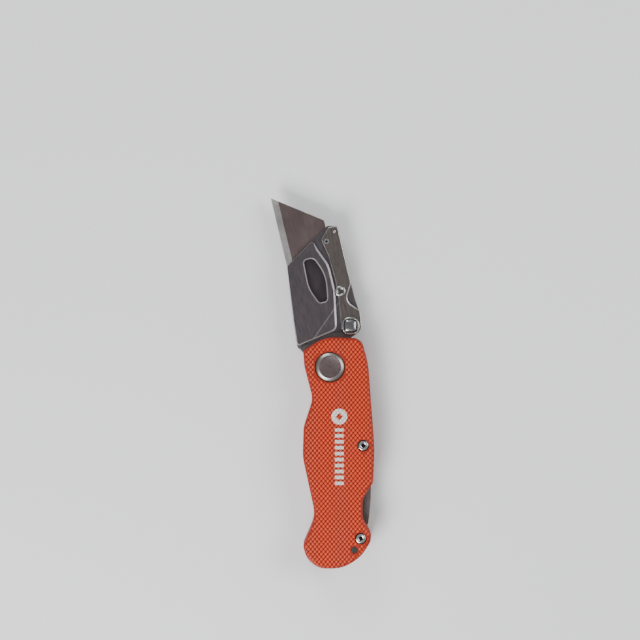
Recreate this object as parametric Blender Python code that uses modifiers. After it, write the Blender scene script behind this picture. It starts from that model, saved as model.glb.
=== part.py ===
"""Folding lock-back utility knife with a quick-change blade carrier.

All lengths are in metres. The handle lies along Y with the blade end at +Y, the knife's back is
at +X and its front face looks to +Z. The origin is on the fold pivot, at the pivot's rear face.
The blade carrier is drawn in its own axes, with the cutting edge parallel to its Y axis.
"""
import math

import bmesh
import bpy
from mathutils import Matrix, Vector

MM = 0.001

# ---- stack through the thickness, from the rear heads to the front heads -------------------
HEAD_PROUD = 0.4 * MM
SCALE_THICKNESS = 3.8 * MM
SCALE_GAP = 5.6 * MM
SCALE_EDGE = 0.7 * MM
REAR_SCALE_BACK = HEAD_PROUD
REAR_SCALE_FRONT = REAR_SCALE_BACK + SCALE_THICKNESS
FRONT_SCALE_BACK = REAR_SCALE_FRONT + SCALE_GAP
FRONT_SCALE_FRONT = FRONT_SCALE_BACK + SCALE_THICKNESS
TOP = FRONT_SCALE_FRONT + HEAD_PROUD
MIDDLE = TOP / 2

# ---- clearances --------------------------------------------------------------------------------
FIT = 0.1 * MM
RUNNING = 0.2 * MM
CUT_THROUGH = 1.0 * MM
WELD = 0.001 * MM

# ---- blade: a standard trapezoid blade with two notches in its spine --------------------------
BLADE_LENGTH = 61.0 * MM
BLADE_HEIGHT = 19.0 * MM
BLADE_THICKNESS = 0.65 * MM
BLADE_END_ANGLE = math.radians(54.0)
NOTCH_SPACING = 16.0 * MM
NOTCH_WIDTH = 3.0 * MM
NOTCH_DEPTH = 2.0 * MM
GRIND_WIDTH = 2.6 * MM
EDGE_LAND = 0.06 * MM

# ---- where the blade sits in the carrier ----------------------------------------------------------
CARRIER_TILT = math.radians(13.4)
EDGE_X = -7.5 * MM
HEEL_Y = 11.3 * MM
END_RUN = BLADE_HEIGHT / math.tan(BLADE_END_ANGLE)
TIP_Y = HEEL_Y + BLADE_LENGTH
BLADE_SPINE_X = EDGE_X + BLADE_HEIGHT
SPINE_REAR_Y = HEEL_Y + END_RUN
SPINE_FRONT_Y = TIP_Y - END_RUN
BLADE_MIDDLE_Y = HEEL_Y + BLADE_LENGTH / 2

# ---- washers --------------------------------------------------------------------------------------
WASHER_THICKNESS = 0.4 * MM
WASHER_RADIUS = 8.0 * MM

# ---- carrier --------------------------------------------------------------------------------------
CARRIER_PLAY = 0.4 * MM
CARRIER_THICKNESS = SCALE_GAP - 2 * CARRIER_PLAY
REAR_WALL = 1.7 * MM
BLADE_SLOT = 1.0 * MM
SHELF = 0.8 * MM
SPINE_RAIL = 4.8 * MM
CHIN_X = -11.0 * MM
CHIN_Y = 11.2 * MM
CHEEK_X = -10.1 * MM
CHEEK_Y = HEEL_Y + 11.0 * MM
NOSE_SETBACK = 3.5 * MM
NOSE_RISE = 11.3 * MM
EDGE_GUARD_LENGTH = 21.0 * MM
COVER_EDGE = 0.5 * MM
COVER_SIDE_X = BLADE_SPINE_X - 2.2 * MM
COVER_CORNER_X = BLADE_SPINE_X - 5.1 * MM
COVER_CORNER_Y = 13.9 * MM
COVER_KNEE_X = BLADE_SPINE_X - 6.5 * MM
COVER_RIVET_RADIUS = 1.1 * MM
TANG_RADIUS = 9.5 * MM
TANG_THICKNESS = SCALE_GAP - 2 * WASHER_THICKNESS - 4 * FIT
WINDOW_TOP = 2.5 * MM
WINDOW_BOTTOM = 15.5 * MM
WINDOW_LEFT_X = EDGE_X + 6.7 * MM
WINDOW_RIGHT_X = BLADE_SPINE_X - 4.6 * MM

CARRIER_BACK = MIDDLE - CARRIER_THICKNESS / 2
CARRIER_FRONT = MIDDLE + CARRIER_THICKNESS / 2
SLOT_BACK = CARRIER_BACK + REAR_WALL
SLOT_FRONT = SLOT_BACK + BLADE_SLOT
SHELF_FRONT = SLOT_FRONT + SHELF
CARRIER_SPINE_X = BLADE_SPINE_X + SPINE_RAIL
NOSE_TOP_Y = SPINE_FRONT_Y - NOSE_SETBACK
NOSE_LOW_Y = NOSE_TOP_Y - NOSE_RISE

# ---- quick-change lever ---------------------------------------------------------------------------
LATCH_Y = BLADE_MIDDLE_Y + NOTCH_SPACING / 2
LATCH_RADIUS = 0.8 * MM
LATCH_CAP_RADIUS = 1.1 * MM
LATCH_X = BLADE_SPINE_X - NOTCH_DEPTH + LATCH_RADIUS + 1.5 * FIT
RIVET_X = BLADE_SPINE_X - 0.25 * MM
RIVET_SETBACK = 3.8 * MM
RIVET_Y = SPINE_REAR_Y + RIVET_SETBACK
RIVET_RADIUS = 1.0 * MM
RIVET_HEAD_RADIUS = 2.1 * MM
RIVET_HEAD = 0.25 * MM
LEVER_NECK_X = BLADE_SPINE_X - 1.2 * MM
BUTTON_X = BLADE_SPINE_X + 0.45 * MM
BUTTON_Y = 14.2 * MM
BUTTON_RADIUS = 3.8 * MM
BUTTON_HEIGHT = 1.5 * MM
BUTTON_STEM = 1.2 * MM
LEVER_EDGE = 0.25 * MM
SPRING_WIRE = 0.25 * MM

# ---- handle outline -------------------------------------------------------------------------------
BUTT_MARGIN = 8.8 * MM
BUTT_Y = -(math.hypot(EDGE_X, TIP_Y) + BUTT_MARGIN)
GUARD_X = -10.8 * MM
GUARD_Y = 6.6 * MM
SHOULDER_Y = 11.9 * MM
BACK_TOP_X = 12.7 * MM
BACK_X = 18.1 * MM
BACK_Y = -33.0 * MM
CHOIL_X = -6.9 * MM
CHOIL_Y = -13.0 * MM
BELLY_X = -11.0 * MM
BELLY_FRONT_Y = -24.5 * MM
BELLY_REAR_Y = -36.5 * MM
FINGER_X = -5.8 * MM
FINGER_FROM_BUTT = 21.0 * MM
TOE_X = -11.0 * MM
TOE_FROM_BUTT = 9.4 * MM
BUTT_BACK_X = 16.5 * MM
BUTT_KNEE_FROM_BUTT = 11.0 * MM
BUTT_HEEL_X = BUTT_BACK_X - 3.7 * MM
BUTT_HEEL_FROM_BUTT = 4.9 * MM
BUTT_FLAT_X = BUTT_BACK_X - 11.3 * MM
SCOOP_X = 13.2 * MM
SCOOP_FROM_BUTT = 14.0 * MM
SCOOP_LENGTH = 21.0 * MM

# ---- fasteners ------------------------------------------------------------------------------------
PIVOT_RADIUS = 3.0 * MM
PIVOT_HEAD_RADIUS = 5.8 * MM
PIN_HEAD_RADIUS = 1.95 * MM
PIN_RADIUS = 1.4 * MM
HEAD_GAP = 0.3 * MM
HEAD_HEIGHT = 1.5 * MM
RIM_SHARE = 0.15
SOCKET_SHARE = 0.5
SOCKET_DEPTH = 0.8 * MM
LOCK_PIN_X = 13.5 * MM
LOCK_PIN_Y = -31.7 * MM
BUTT_SCREW_X = 12.5 * MM
BUTT_SCREW_FROM_BUTT = 12.3 * MM
BUTT_PIN_X = 9.9 * MM
BUTT_PIN_FROM_BUTT = 7.6 * MM
BUTT_PIN_RADIUS = 1.25 * MM

# ---- lock -----------------------------------------------------------------------------------------
FOLD_CLOSED = math.radians(163.0)
LOCK_SWING = math.radians(2.0)
LOCK_BAR_THICKNESS = SCALE_GAP - 2 * RUNNING
TOOTH_X = TANG_RADIUS + 0.15 * MM
TOOTH_LOW_Y = -0.5 * MM
TOOTH_HIGH_Y = 3.5 * MM
BAR_INNER_X = 11.7 * MM
BAR_BACK_INSET = 0.5 * MM
BAR_PAD_X = 16.5 * MM
BAR_TAIL_GAP = 1.6 * MM
SPACER_INNER_X = 7.6 * MM
SPACER_INSET = 0.7 * MM
SPACER_TOE_X = 3.6 * MM
SPACER_FROM_BUTT = 15.2 * MM
SPRING_THICKNESS = 0.8 * MM
SPRING_HEIGHT = 4.0 * MM
SPRING_LENGTH = 19.0 * MM

SIDES = 32
ARC_STEP = math.radians(14.0)


# ---- scene ----------------------------------------------------------------------------------------
def clear_scene():
    """Remove whatever the scene holds."""
    for item in list(bpy.data.objects):
        bpy.data.objects.remove(item, do_unlink=True)


def make_collection(name):
    """A collection linked to the scene."""
    group = bpy.data.collections.new(name)
    bpy.context.scene.collection.children.link(group)
    return group


def make_material(name, colour, roughness, metallic):
    """A Principled material of one plain colour."""
    look = bpy.data.materials.new(name)
    look.use_nodes = True
    look.diffuse_color = (*colour, 1.0)
    shader = look.node_tree.nodes["Principled BSDF"]
    shader.inputs["Base Color"].default_value = (*colour, 1.0)
    shader.inputs["Roughness"].default_value = roughness
    shader.inputs["Metallic"].default_value = metallic
    return look


def make_frame(name, parent, x, y, turn=0.0):
    """An empty on a joint's axis. It keeps where its group's drawing axes are."""
    empty = bpy.data.objects.new(name, None)
    KNIFE.objects.link(empty)
    empty.empty_display_size = 5 * MM
    empty.location = (x, y, 0.0)
    empty.rotation_euler.z = turn
    empty.parent = parent
    return empty


def add_item(name, mesh, frame, look=None):
    """Link a mesh under a frame, or as a cutter when it has no material.

    Meshes are drawn in the axes of the frame's group, whose origin is the pivot, so the object
    sits back by the frame's own place.
    """
    item = bpy.data.objects.new(name, mesh)
    if look is None:
        CUTTERS.objects.link(item)
        item.hide_render = True
        item.display_type = 'WIRE'
    else:
        KNIFE.objects.link(item)
        mesh.materials.append(look)
    item.parent = frame
    item.location = -frame.location
    return item


# ---- shapes ---------------------------------------------------------------------------------------
def round_corners(corners):
    """Points of a closed outline whose corners (x, y, radius) are replaced by arcs.

    A radius is limited by the straight length beside it.
    """
    points = []
    count = len(corners)
    for index, (x, y, radius) in enumerate(corners):
        here = Vector((x, y))
        before = Vector(corners[index - 1][:2]) - here
        after = Vector(corners[(index + 1) % count][:2]) - here
        half = before.angle(after) / 2
        room = 0.48 * min(before.length, after.length) * math.tan(half)
        radius = min(radius, room)
        if radius < WELD:
            points.append(here)
            continue
        centre = here + (before.normalized() + after.normalized()).normalized() * (radius / math.sin(half))
        start = here + before.normalized() * (radius / math.tan(half)) - centre
        sweep = math.pi - 2 * half
        if before.cross(after) > 0:
            sweep = -sweep
        steps = max(1, math.ceil(abs(sweep) / ARC_STEP))
        for step in range(steps + 1):
            points.append(centre + Matrix.Rotation(sweep * step / steps, 2) @ start)
    return points


def plate(name, corners, low, high, frame, look=None, edge=0.0):
    """A flat piece between two heights, with its edges rounded by the size given."""
    points = round_corners(corners)
    curve = bpy.data.curves.new(name, 'CURVE')
    curve.dimensions = '2D'
    curve.fill_mode = 'BOTH'
    curve.extrude = (high - low) / 2 - edge
    curve.bevel_depth = edge
    curve.bevel_resolution = 1
    curve.offset = -edge
    spline = curve.splines.new('POLY')
    spline.points.add(len(points) - 1)
    for target, point in zip(spline.points, points):
        target.co = (point.x, point.y, 0.0, 1.0)
    spline.use_cyclic_u = True
    drawing = bpy.data.objects.new(name + "_drawing", curve)
    mesh = bpy.data.meshes.new_from_object(drawing)
    bpy.data.objects.remove(drawing)
    mesh.name = name
    tidy_mesh(mesh, (low + high) / 2)
    return add_item(name, mesh, frame, look)


def tidy_mesh(mesh, height):
    """Weld a mesh, lift it and turn its faces out."""
    work = bmesh.new()
    work.from_mesh(mesh)
    bmesh.ops.remove_doubles(work, verts=work.verts, dist=WELD)
    bmesh.ops.translate(work, verts=work.verts, vec=(0.0, 0.0, height))
    bmesh.ops.recalc_face_normals(work, faces=work.faces)
    work.to_mesh(mesh)
    work.free()


def drum(name, x, y, radius, low, high, frame, look=None, sides=SIDES):
    """A cylinder or prism that stands along Z."""
    mesh = bpy.data.meshes.new(name)
    work = bmesh.new()
    bmesh.ops.create_cone(work, cap_ends=True, segments=sides, radius1=radius, radius2=radius,
                          depth=high - low, matrix=Matrix.Translation((x, y, (low + high) / 2)))
    work.to_mesh(mesh)
    work.free()
    return add_item(name, mesh, frame, look)


def turned(name, x, y, profile, frame, look):
    """A solid of revolution about a Z axis, from its half profile (radius, height)."""
    mesh = bpy.data.meshes.new(name)
    links = [(index, index + 1) for index in range(len(profile) - 1)]
    mesh.from_pydata([(radius, 0.0, height) for radius, height in profile], links, [])
    item = add_item(name, mesh, frame, look)
    item.location += Vector((x, y, 0.0))
    spin = item.modifiers.new("turn", 'SCREW')
    spin.steps = SIDES
    spin.render_steps = SIDES
    spin.use_merge_vertices = True
    spin.merge_threshold = WELD
    spin.use_normal_flip = True
    return item


def combine(target, tool, operation='DIFFERENCE'):
    """Cut a tool out of a piece, or join it on."""
    step = target.modifiers.new(tool.name, 'BOOLEAN')
    step.operation = operation
    step.solver = 'EXACT'
    step.object = tool


def swing(x, y, angle):
    """Where a point of the lock bar goes when the bar turns about its pin."""
    arm = Matrix.Rotation(angle, 2) @ Vector((x - LOCK_PIN_X, y - LOCK_PIN_Y))
    return arm.x + LOCK_PIN_X, arm.y + LOCK_PIN_Y


# ---- handle ---------------------------------------------------------------------------------------
def handle_corners():
    """The scales' outline, from the guard clockwise around the back and the butt."""
    finger_y = BUTT_Y + FINGER_FROM_BUTT
    scoop_rear_y = BUTT_Y + SCOOP_FROM_BUTT
    scoop_front_y = scoop_rear_y + SCOOP_LENGTH
    return [
        (GUARD_X, GUARD_Y, 1.0 * MM),
        (GUARD_X + 8.6 * MM, SHOULDER_Y + 0.4 * MM, 15.0 * MM),
        (BACK_TOP_X, SHOULDER_Y - 0.4 * MM, 4.2 * MM),
        (BACK_TOP_X + 2.8 * MM, SHOULDER_Y - 10.5 * MM, 30.0 * MM),
        (BACK_X, BACK_Y, 60.0 * MM),
        (BACK_X - 0.6 * MM, scoop_front_y - 0.1 * MM, 4.0 * MM),
        (SCOOP_X, scoop_front_y - 7.0 * MM, 6.0 * MM),
        (SCOOP_X, scoop_rear_y + 6.5 * MM, 7.0 * MM),
        (BUTT_BACK_X + 0.2 * MM, scoop_rear_y, 2.0 * MM),
        (BUTT_BACK_X, BUTT_Y + BUTT_KNEE_FROM_BUTT, 5.2 * MM),
        (BUTT_HEEL_X, BUTT_Y + BUTT_HEEL_FROM_BUTT, 14.0 * MM),
        (BUTT_FLAT_X, BUTT_Y, 14.0 * MM),
        (TOE_X + 6.4 * MM, BUTT_Y, 8.5 * MM),
        (TOE_X + 1.4 * MM, BUTT_Y + 4.3 * MM, 8.0 * MM),
        (TOE_X + 0.1 * MM, BUTT_Y + TOE_FROM_BUTT, 3.5 * MM),
        (FINGER_X, finger_y, 14.0 * MM),
        (BELLY_X, BELLY_REAR_Y, 16.0 * MM),
        (BELLY_X + 0.3 * MM, BELLY_FRONT_Y, 10.0 * MM),
        (CHOIL_X, CHOIL_Y, 9.0 * MM),
        (GUARD_X + 0.4 * MM, GUARD_Y - 6.1 * MM, 8.0 * MM),
    ]


def fastener_places():
    """Name, place and head radius of each screwed pin through the handle, and its shank."""
    return (
        ("pivot", 0.0, 0.0, PIVOT_HEAD_RADIUS, PIVOT_RADIUS),
        ("lock_pin", LOCK_PIN_X, LOCK_PIN_Y, PIN_HEAD_RADIUS, PIN_RADIUS),
        ("butt", BUTT_SCREW_X, BUTT_Y + BUTT_SCREW_FROM_BUTT, PIN_HEAD_RADIUS, PIN_RADIUS),
    )


def add_scale(name, low, high, outer):
    """One aluminium scale, bored for the fasteners and counterbored at its outer face."""
    scale = plate(name, handle_corners(), low, high, HANDLE, ORANGE, SCALE_EDGE)
    inwards = 1.0 if outer < MIDDLE else -1.0
    seat = outer + inwards * (HEAD_HEIGHT - HEAD_PROUD + FIT)
    for prefix, x, y, head, shank in fastener_places():
        combine(scale, drum(f"{name}_{prefix}_bore", x, y, shank + FIT, low - CUT_THROUGH,
                            high + CUT_THROUGH, HANDLE))
        ends = sorted((outer - inwards * CUT_THROUGH, seat))
        combine(scale, drum(f"{name}_{prefix}_seat", x, y, head + HEAD_GAP, *ends, HANDLE))
    combine(scale, drum(f"{name}_butt_pin_bore", BUTT_PIN_X, BUTT_Y + BUTT_PIN_FROM_BUTT,
                        BUTT_PIN_RADIUS + FIT, low - CUT_THROUGH, high + CUT_THROUGH, HANDLE))


def add_fastener(prefix, x, y, head, shank):
    """A barrel with a flat rear head and the screw that enters it from the front."""
    thread = shank / 2
    barrel_end = TOP - HEAD_HEIGHT - FIT
    thread_end = MIDDLE - 1.0 * MM
    rim = head * RIM_SHARE
    turned(f"{prefix}_barrel", x, y,
           [(0.0, 0.0), (head - rim, 0.0), (head, rim), (head, HEAD_HEIGHT), (shank, HEAD_HEIGHT),
            (shank, barrel_end), (thread + FIT, barrel_end), (thread + FIT, thread_end),
            (0.0, thread_end)], HANDLE, STEEL)
    screw = turned(f"{prefix}_screw", x, y,
                   [(0.0, thread_end + 2 * FIT), (thread, thread_end + 2 * FIT),
                    (thread, TOP - HEAD_HEIGHT), (head, TOP - HEAD_HEIGHT), (head, TOP - rim),
                    (head - rim, TOP), (0.0, TOP)], HANDLE, STEEL)
    combine(screw, drum(f"{prefix}_socket", x, y, head * SOCKET_SHARE, TOP - SOCKET_DEPTH,
                        TOP + CUT_THROUGH, HANDLE, sides=6))


def add_washers():
    """A thin bronze washer on each side of the tang."""
    gap = (SCALE_GAP - TANG_THICKNESS) / 2 - WASHER_THICKNESS
    rear = REAR_SCALE_FRONT + gap / 2
    front = FRONT_SCALE_BACK - gap / 2 - WASHER_THICKNESS
    for name, low in (("rear_washer", rear), ("front_washer", front)):
        washer = drum(name, 0.0, 0.0, WASHER_RADIUS, low, low + WASHER_THICKNESS, HANDLE, BRONZE)
        combine(washer, drum(name + "_bore", 0.0, 0.0, PIVOT_RADIUS + RUNNING, low - CUT_THROUGH,
                             low + WASHER_THICKNESS + CUT_THROUGH, HANDLE))


def add_butt_spacer():
    """The block that holds the scales apart at the butt and backs the lock spring."""
    top_y = BUTT_Y + SPACER_FROM_BUTT
    low_y = BUTT_Y + SPACER_INSET
    step_y = BUTT_Y + BUTT_PIN_FROM_BUTT - BUTT_PIN_RADIUS - 1.4 * MM
    outer_x = BUTT_BACK_X - SPACER_INSET
    low = REAR_SCALE_FRONT + FIT
    high = FRONT_SCALE_BACK - FIT
    spacer = plate("butt_spacer", [
        (SPACER_INNER_X, top_y, 0.6 * MM),
        (outer_x - 0.4 * MM, top_y, 0.8 * MM),
        (outer_x, BUTT_Y + BUTT_KNEE_FROM_BUTT, 5.0 * MM),
        (BUTT_HEEL_X - SPACER_INSET, BUTT_Y + BUTT_HEEL_FROM_BUTT + SPACER_INSET / 2, 12.0 * MM),
        (BUTT_FLAT_X, low_y, 3.0 * MM),
        (SPACER_TOE_X, low_y, 1.0 * MM),
        (SPACER_TOE_X, step_y, 1.0 * MM),
        (SPACER_INNER_X, step_y, 0.0),
    ], low, high, HANDLE, DARK_STEEL)
    holes = (("spacer_screw_bore", BUTT_SCREW_X, BUTT_SCREW_FROM_BUTT, PIN_RADIUS),
             ("spacer_pin_bore", BUTT_PIN_X, BUTT_PIN_FROM_BUTT, BUTT_PIN_RADIUS))
    for name, x, from_butt, radius in holes:
        combine(spacer, drum(name, x, BUTT_Y + from_butt, radius + FIT, low - CUT_THROUGH,
                             high + CUT_THROUGH, HANDLE))


def add_butt_pin():
    """The plain pin beside the butt screw, flush with the scales."""
    drum("butt_pin", BUTT_PIN_X, BUTT_Y + BUTT_PIN_FROM_BUTT, BUTT_PIN_RADIUS,
         REAR_SCALE_BACK + FIT, FRONT_SCALE_FRONT - FIT, HANDLE, DARK_STEEL)


def add_lock_spring():
    """The leaf that pushes the bar's tail outwards. It stands on the butt spacer."""
    root_y = BUTT_Y + SPACER_FROM_BUTT + FIT
    tip_y = root_y + SPRING_LENGTH
    root_x = SPACER_INNER_X + 0.9 * MM
    tip_x = BAR_INNER_X - RUNNING - SPRING_THICKNESS
    bow_y = root_y + 0.45 * SPRING_LENGTH
    bow_x = root_x + 0.3 * MM
    plate("lock_spring", [
        (root_x, root_y, 0.0),
        (root_x + SPRING_THICKNESS, root_y, 0.0),
        (bow_x + SPRING_THICKNESS, bow_y, 20 * MM),
        (tip_x + SPRING_THICKNESS, tip_y, 0.3 * MM),
        (tip_x, tip_y, 0.3 * MM),
        (bow_x, bow_y, 20 * MM),
    ], MIDDLE - SPRING_HEIGHT / 2, MIDDLE + SPRING_HEIGHT / 2, HANDLE, SPRING_STEEL)


# ---- lock bar -------------------------------------------------------------------------------------
def add_lock_bar():
    """The bar in the knife's back, drawn with its tail pressed and its tooth out of the tang."""
    tail_y = BUTT_Y + SPACER_FROM_BUTT + BAR_TAIL_GAP
    pad_y = BUTT_Y + SCOOP_FROM_BUTT + SCOOP_LENGTH / 2
    front_x = BACK_TOP_X + 2.0 * MM - BAR_BACK_INSET
    low = MIDDLE - LOCK_BAR_THICKNESS / 2
    high = MIDDLE + LOCK_BAR_THICKNESS / 2
    bar = plate("lock_bar", [
        (TOOTH_X, TOOTH_HIGH_Y, 0.2 * MM),
        (front_x, TOOTH_HIGH_Y + 0.4 * MM, 1.5 * MM),
        (BACK_X - 2 * BAR_BACK_INSET, BACK_Y, 60 * MM),
        (BAR_PAD_X, pad_y, 60 * MM),
        (BAR_PAD_X - 1.1 * MM, tail_y, 1.5 * MM),
        (BAR_INNER_X, tail_y, 1.5 * MM),
        (BAR_INNER_X, TOOTH_LOW_Y, 0.4 * MM),
        (TOOTH_X, TOOTH_LOW_Y, 0.2 * MM),
    ], low, high, LOCK, DARK_STEEL)
    combine(bar, drum("lock_bar_bore", LOCK_PIN_X, LOCK_PIN_Y, PIN_RADIUS + FIT,
                      low - CUT_THROUGH, high + CUT_THROUGH, LOCK))


def tooth_cutter(name, turn):
    """The recess that the tooth drops into, at a fold angle of the carrier."""
    side = 1.5 * FIT
    corners = [(TOOTH_X - side, TOOTH_LOW_Y - side), (TOOTH_X - side, TOOTH_HIGH_Y + side),
               (TOOTH_X + TANG_RADIUS, TOOTH_HIGH_Y + side), (TOOTH_X + TANG_RADIUS, TOOTH_LOW_Y - side)]
    recess = plate(name, [(*swing(x, y, LOCK_SWING), 0.0) for x, y in corners],
                   0.0, TOP, HANDLE)
    recess.rotation_euler.z = -turn
    return recess


# ---- blade and carrier ----------------------------------------------------------------------------
def add_blade():
    """The blade, with the two notches and a ground cutting edge."""
    low = (SLOT_BACK + SLOT_FRONT - BLADE_THICKNESS) / 2
    high = low + BLADE_THICKNESS
    blade = plate("blade", [(EDGE_X, TIP_Y, 0.0), (BLADE_SPINE_X, SPINE_FRONT_Y, 0.0),
                            (BLADE_SPINE_X, SPINE_REAR_Y, 0.0), (EDGE_X, HEEL_Y, 0.0)],
                  low, high, CARRIER, BLADE_STEEL)
    grind(blade.data, (low + high) / 2)
    for name, y in (("front_notch", LATCH_Y), ("rear_notch", LATCH_Y - NOTCH_SPACING)):
        combine(blade, plate(name, [
            (BLADE_SPINE_X - NOTCH_DEPTH, y - NOTCH_WIDTH / 2, 0.5 * MM),
            (BLADE_SPINE_X + CUT_THROUGH, y - NOTCH_WIDTH / 2, 0.0),
            (BLADE_SPINE_X + CUT_THROUGH, y + NOTCH_WIDTH / 2, 0.0),
            (BLADE_SPINE_X - NOTCH_DEPTH, y + NOTCH_WIDTH / 2, 0.5 * MM),
        ], low - CUT_THROUGH, high + CUT_THROUGH, CARRIER))


def grind(mesh, middle):
    """Slice both faces down to the cutting edge."""
    slope = (BLADE_THICKNESS - EDGE_LAND) / 2 / GRIND_WIDTH
    for side in (-1.0, 1.0):
        work = bmesh.new()
        work.from_mesh(mesh)
        cut = bmesh.ops.bisect_plane(work, geom=[*work.verts, *work.edges, *work.faces],
                                     dist=WELD / 10, clear_outer=True,
                                     plane_co=(EDGE_X, 0.0, middle + side * EDGE_LAND / 2),
                                     plane_no=(-slope, 0.0, side))
        rim = [item for item in cut["geom_cut"] if isinstance(item, bmesh.types.BMEdge)]
        bmesh.ops.holes_fill(work, edges=rim)
        bmesh.ops.recalc_face_normals(work, faces=work.faces)
        work.to_mesh(mesh)
        work.free()


def carrier_corners():
    """The carrier's outline outside the handle, from the nose's low corner clockwise."""
    return [
        (EDGE_X, NOSE_LOW_Y, 0.5 * MM),
        (BLADE_SPINE_X + 0.7 * MM, NOSE_TOP_Y + 1.0 * MM, 1.5 * MM),
        (CARRIER_SPINE_X, NOSE_TOP_Y, 1.8 * MM),
        (CARRIER_SPINE_X, SPINE_REAR_Y, 6.0 * MM),
        (CARRIER_SPINE_X + 0.6 * MM, BUTTON_Y + 4.0 * MM, 3.5 * MM),
    ]


def add_carrier_body():
    """The rear wall, the rails around the blade and the tang that turns on the pivot."""
    rail_front = SLOT_FRONT - FIT
    neck_low_y = WASHER_RADIUS + 2 * RUNNING
    body = plate("carrier_body", carrier_corners() + [
        (BUTTON_X + 2.6 * MM, BUTTON_Y - 3.6 * MM, 3.0 * MM),
        (TANG_RADIUS - 1.9 * MM, neck_low_y, 0.0),
        (CHIN_X + 1.9 * MM, neck_low_y, 0.5 * MM),
        (CHIN_X, CHIN_Y - 0.6 * MM, 1.0 * MM),
        (CHEEK_X, CHEEK_Y, 20.0 * MM),
    ], CARRIER_BACK, rail_front, CARRIER, CARRIER_STEEL)
    combine(body, blade_pocket(rail_front))
    combine(body, latch_slot("body_latch_slot", SLOT_BACK, rail_front + CUT_THROUGH))
    combine(body, tang(), 'UNION')
    combine(body, drum("tang_bore", 0.0, 0.0, PIVOT_RADIUS + FIT, 0.0, TOP, CARRIER))
    combine(body, tooth_cutter("open_recess", 0.0))
    combine(body, tooth_cutter("closed_recess", FOLD_CLOSED))
    for index, (x, y) in enumerate(cover_rivet_places(), 1):
        combine(body, drum(f"body_rivet_bore_{index}", x, y, COVER_RIVET_RADIUS + FIT, 0.0, TOP, CARRIER))


def tang():
    """The thick tang with its neck, as one tool that is joined to the carrier."""
    low = MIDDLE - TANG_THICKNESS / 2
    high = MIDDLE + TANG_THICKNESS / 2
    disc = drum("tang_disc", 0.0, 0.0, TANG_RADIUS, low, high, CARRIER)
    neck = plate("tang_neck", [
        (CHIN_X + 1.9 * MM, CHIN_Y - 3.4 * MM, 0.3 * MM),
        (CHIN_X + 0.6 * MM, CHIN_Y - 1.0 * MM, 0.6 * MM),
        (COVER_CORNER_X - 3.8 * MM, COVER_CORNER_Y - 1.7 * MM, 1.5 * MM),
        (TANG_RADIUS - 2.2 * MM, 5.4 * MM, 0.0),
        (0.0, 0.0, 0.0),
        (-TANG_RADIUS + 1.6 * MM, 4.4 * MM, 0.0),
    ], low, high, CARRIER)
    combine(disc, neck, 'UNION')
    return disc


def blade_pocket(rail_front):
    """The space that the blade lies in, open at the nose and along the front of its edge."""
    side = 1.5 * FIT
    guard_y = HEEL_Y + EDGE_GUARD_LENGTH
    return plate("blade_pocket", [
        (EDGE_X - side, HEEL_Y - 2 * side, 0.0),
        (EDGE_X - side, guard_y, 0.0),
        (2 * CHIN_X, guard_y, 0.0),
        (2 * CHIN_X, TIP_Y, 0.0),
        (BLADE_SPINE_X + side, TIP_Y, 0.0),
        (BLADE_SPINE_X + side, SPINE_REAR_Y - side, 0.0),
    ], SLOT_BACK, rail_front + CUT_THROUGH, CARRIER)


def latch_slot(name, low, high):
    """Room for the latch pin from the blade's notch to clear of the blade's spine."""
    reach = NOTCH_DEPTH + 2 * LATCH_RADIUS
    side = LATCH_RADIUS + RUNNING
    return plate(name, [
        (LATCH_X - side, LATCH_Y - side, side / 2),
        (LATCH_X + reach, LATCH_Y - side, side / 2),
        (LATCH_X + reach, LATCH_Y + side, side / 2),
        (LATCH_X - side, LATCH_Y + side, side / 2),
    ], low, high, CARRIER)


def cover_rivet_places():
    """Two rivets in the spine rail, under the lever, and one behind the blade's heel."""
    rail_x = BLADE_SPINE_X + SPINE_RAIL / 2 + 0.3 * MM
    return ((rail_x, LATCH_Y - 5.5 * MM), (rail_x, RIVET_Y + 6.0 * MM), (1.0 * MM, HEEL_Y + 3.3 * MM))


def cover_corners():
    """The raised part of the cover: straight nose, swept side, low corner and flared cheek."""
    return [
        (EDGE_X, NOSE_LOW_Y, 0.6 * MM),
        (COVER_KNEE_X, NOSE_LOW_Y + 7.8 * MM, 1.2 * MM),
        (COVER_KNEE_X + 1.4 * MM, NOSE_LOW_Y + 3.6 * MM, 6.0 * MM),
        (COVER_SIDE_X, NOSE_LOW_Y - 3.4 * MM, 12.0 * MM),
        (COVER_SIDE_X, RIVET_Y + 0.7 * MM, 8.0 * MM),
        (COVER_CORNER_X, COVER_CORNER_Y, 3.0 * MM),
        (CHIN_X, CHIN_Y, 1.0 * MM),
        (CHEEK_X, CHEEK_Y, 20.0 * MM),
    ]


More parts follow.
